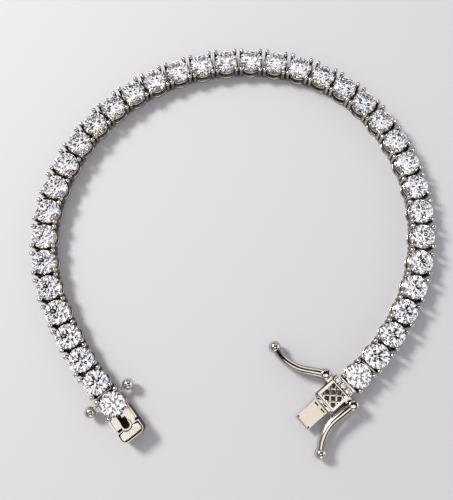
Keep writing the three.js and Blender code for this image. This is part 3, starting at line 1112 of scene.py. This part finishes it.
class BRACELET_OT_latches(bpy.types.Operator):
    """Make the two swinging safety latches"""

    bl_idname = "bracelet.latches"
    bl_label = "Safety latches"

    def execute(self, context):
        closed = -context.scene.bracelet_latch.closed_turn
        make_latch("safety_latch_inner", -1, PIVOT_INNER, closed + INNER_OPEN, "latch_inner")
        make_latch("safety_latch_outer", 1, PIVOT_OUTER, closed, "latch_outer")
        return {"FINISHED"}


# ------------ stage


def add_camera(stage):
    camera = linked(bpy.data.cameras.new("camera"), "camera")
    camera.data.lens = stage.lens
    camera.data.clip_start = 0.002
    camera.data.clip_end = 20
    camera.location = (-stage.camera_side, -stage.camera_back, stage.camera_height)
    camera.rotation_euler = (stage.camera_tilt, 0, 0)
    bpy.context.scene.camera = camera


def add_lamp(name, towards, distance, size, watts, tone):
    """A square soft lamp in the direction (x, y, z), aimed at the bracelet."""
    lamp = linked(bpy.data.lights.new(name, "AREA"), name)
    direction = Vector(towards).normalized()
    lamp.location = direction * distance
    lamp.rotation_euler = direction.to_track_quat("Z", "Y").to_euler()
    lamp.data.size = size
    lamp.data.energy = watts
    lamp.data.color = tone


BACKDROP = (0.74, 0.73, 0.75)
WALLS = (0.26, 0.25, 0.24)
EVEN_LIGHT = (0.66, 0.655, 0.68)
DARK_SIDE = (0.38, -0.22, 1.0)
DARK_FADE = (0.48, 0.62)
DARK_CARD_SCALE = 2.1
GLINT_SCALE = 1.9
CLOTHS = (
    # towards (x, y, z), half width in degrees, soft edge in degrees, tone
    ((-0.66, 0.42, 0.74), 14, 4, (3.4, 3.3, 3.1)),
    ((-0.17, -0.26, 1.0), 12, 2, (1.25, 1.19, 1.14)),
    ((0.17, -0.22, 1.0), 12.5, 2, (1.4, 1.33, 1.26)),
    ((0.95, 0.15, 0.3), 19, 5, (1.5, 1.47, 1.45)),
    ((0.15, -0.9, 0.34), 17, 4, (1.45, 1.4, 1.35)),
    ((0.35, 0.75, 0.6), 9, 3, (1.5, 1.45, 1.5)),
    ((0.0, 0.62, 0.79), 10, 3, (0.95, 0.92, 0.89)),
)
DARK_CARDS = (
    # share of the cards below, tone
    (0.0, (0.010, 0.008, 0.007)), (0.6, (0.06, 0.05, 0.045)),
    (0.8, (0.25, 0.25, 0.27)), (0.9, (0.8, 0.78, 0.75)),
)
SKY_BANDS = (
    # height of the direction above the table, tone
    (0.0, (0.30, 0.29, 0.29)), (0.14, (0.03, 0.026, 0.024)), (0.43, (1.12, 1.1, 1.1)),
    (0.70, (0.08, 0.08, 0.11)), (0.84, (1.38, 1.36, 1.37)), (0.972, (0.02, 0.018, 0.02)),
)
GLINTS = (
    # share of the cards below, tone
    (0.0, (0.30, 0.33, 0.42)), (0.14, (0.8, 0.85, 1.0)), (0.38, (1.0, 1.0, 1.0)),
    (0.80, (1.4, 1.35, 1.3)), (0.94, (2.2, 1.7, 1.1)),
)


def patchwork(tree, towards, scale, cards):
    """Flat patches of the cards' tones, spread over the whole sphere."""
    cells = {"Vector": towards, "Scale": scale, "Randomness": 1.0}
    colours = made(tree, "ShaderNodeTexVoronoi", cells, "Color")
    return stepped(tree, made(tree, "ShaderNodeSeparateColor", {"Color": colours}), cards)


def stepped(tree, value, cards):
    """The tone of the last card whose start is below the value."""
    ramp = add_node(tree, "ShaderNodeValToRGB", {"Fac": value})
    ramp.color_ramp.interpolation = "CONSTANT"
    elements = ramp.color_ramp.elements
    for k, (at, tone) in enumerate(cards):
        stop = elements[k] if k < 2 else elements.new(at)
        stop.position = at
        stop.color = (*tone, 1)
    return ramp.outputs["Color"]


def facing_of(tree, towards, direction):
    pair = {0: towards, 1: Vector(direction).normalized()}
    return made(tree, "ShaderNodeVectorMath", pair, "Value", operation="DOT_PRODUCT")


def add_room_light():
    """Even light for the table, dark walls and white cloths for metal, bright cards for stones."""
    world = bpy.data.worlds.new("studio")
    bpy.context.scene.world = world
    world.use_nodes = True
    tree = world.node_tree
    tree.nodes.clear()
    towards = made(tree, "ShaderNodeTexCoord", output="Generated")
    darkness = ranged(tree, facing_of(tree, towards, DARK_SIDE), *DARK_FADE)
    room = choose(tree, darkness, WALLS, patchwork(tree, towards, DARK_CARD_SCALE, DARK_CARDS))
    for direction, half_width, edge, tone in CLOTHS:
        outside, inside = (math.cos(math.radians(half_width + more)) for more in (edge, 0))
        mask = ranged(tree, facing_of(tree, towards, direction), outside, inside)
        room = choose(tree, mask, room, tone)
    height = made(tree, "ShaderNodeSeparateXYZ", {"Vector": towards}, "Z")
    bands, glints = stepped(tree, height, SKY_BANDS), patchwork(tree, towards, GLINT_SCALE, GLINTS)
    cards = made(tree, "ShaderNodeVectorMath", {0: bands, 1: glints}, operation="MULTIPLY")
    ray = add_node(tree, "ShaderNodeLightPath").outputs
    light = choose(tree, ray["Is Diffuse Ray"], room, EVEN_LIGHT)
    light = choose(tree, ray["Is Transmission Ray"], light, cards)
    light = choose(tree, ray["Is Camera Ray"], light, BACKDROP)
    shine = made(tree, "ShaderNodeBackground", {"Color": light, "Strength": 1.0})
    add_node(tree, "ShaderNodeOutputWorld", {"Surface": shine})


def add_table(stage):
    half = stage.table_size / MM / 2
    board = slab(-half, half, -half, half, -20, 0)
    top = finished_piece("table_top", board, finishes()["table_top"])


class BRACELET_OT_stage(bpy.types.Operator):
    """Set the camera, the table top and the soft studio light"""

    bl_idname = "bracelet.stage"
    bl_label = "Stage"

    def execute(self, context):
        stage = context.scene.bracelet_stage
        add_camera(stage)
        add_table(stage)
        add_room_light()
        add_lamp(
            "key_lamp", towards=(-0.66, 0.42, 0.72),
            distance=0.5, size=0.11, watts=2.7, tone=(1.0, 0.985, 0.96),
        )
        context.scene.view_settings.view_transform = "Standard"
        context.scene.cycles.max_bounces = 16
        context.scene.cycles.glossy_bounces = 12
        context.scene.cycles.transmission_bounces = 16
        return {"FINISHED"}


# ------------ panel and main

OPERATORS = (
    BRACELET_OT_stage,
    BRACELET_OT_stones,
    BRACELET_OT_settings,
    BRACELET_OT_box_clasp,
    BRACELET_OT_clasp_block,
    BRACELET_OT_tongue,
    BRACELET_OT_latches,
)


class BRACELET_PT_panel(bpy.types.Panel):
    """Lists the bracelet's parts and their sizes"""

    bl_label = "Bracelet"
    bl_idname = "BRACELET_PT_panel"
    bl_space_type = "VIEW_3D"
    bl_region_type = "UI"
    bl_category = "Bracelet"

    def draw(self, context):
        for operator in OPERATORS:
            self.layout.operator(operator.bl_idname)
        for name, group in GROUPS.items():
            column = self.layout.column(align=True)
            for field in group.__annotations__:
                column.prop(getattr(context.scene, name), field)


CLASSES = (*GROUPS.values(), *OPERATORS, BRACELET_PT_panel)


def register():
    for one in CLASSES:
        bpy.utils.register_class(one)
    for name, group in GROUPS.items():
        setattr(bpy.types.Scene, name, bpy.props.PointerProperty(type=group))


def unregister():
    for name in GROUPS:
        delattr(bpy.types.Scene, name)
    for one in reversed(CLASSES):
        bpy.utils.unregister_class(one)


def main():
    register()
    bpy.ops.bracelet.stage()
    bpy.ops.bracelet.stones()
    bpy.ops.bracelet.settings()
    bpy.ops.bracelet.box_clasp()
    bpy.ops.bracelet.clasp_block()
    bpy.ops.bracelet.tongue()
    bpy.ops.bracelet.latches()


if __name__ == "__main__":
    main()
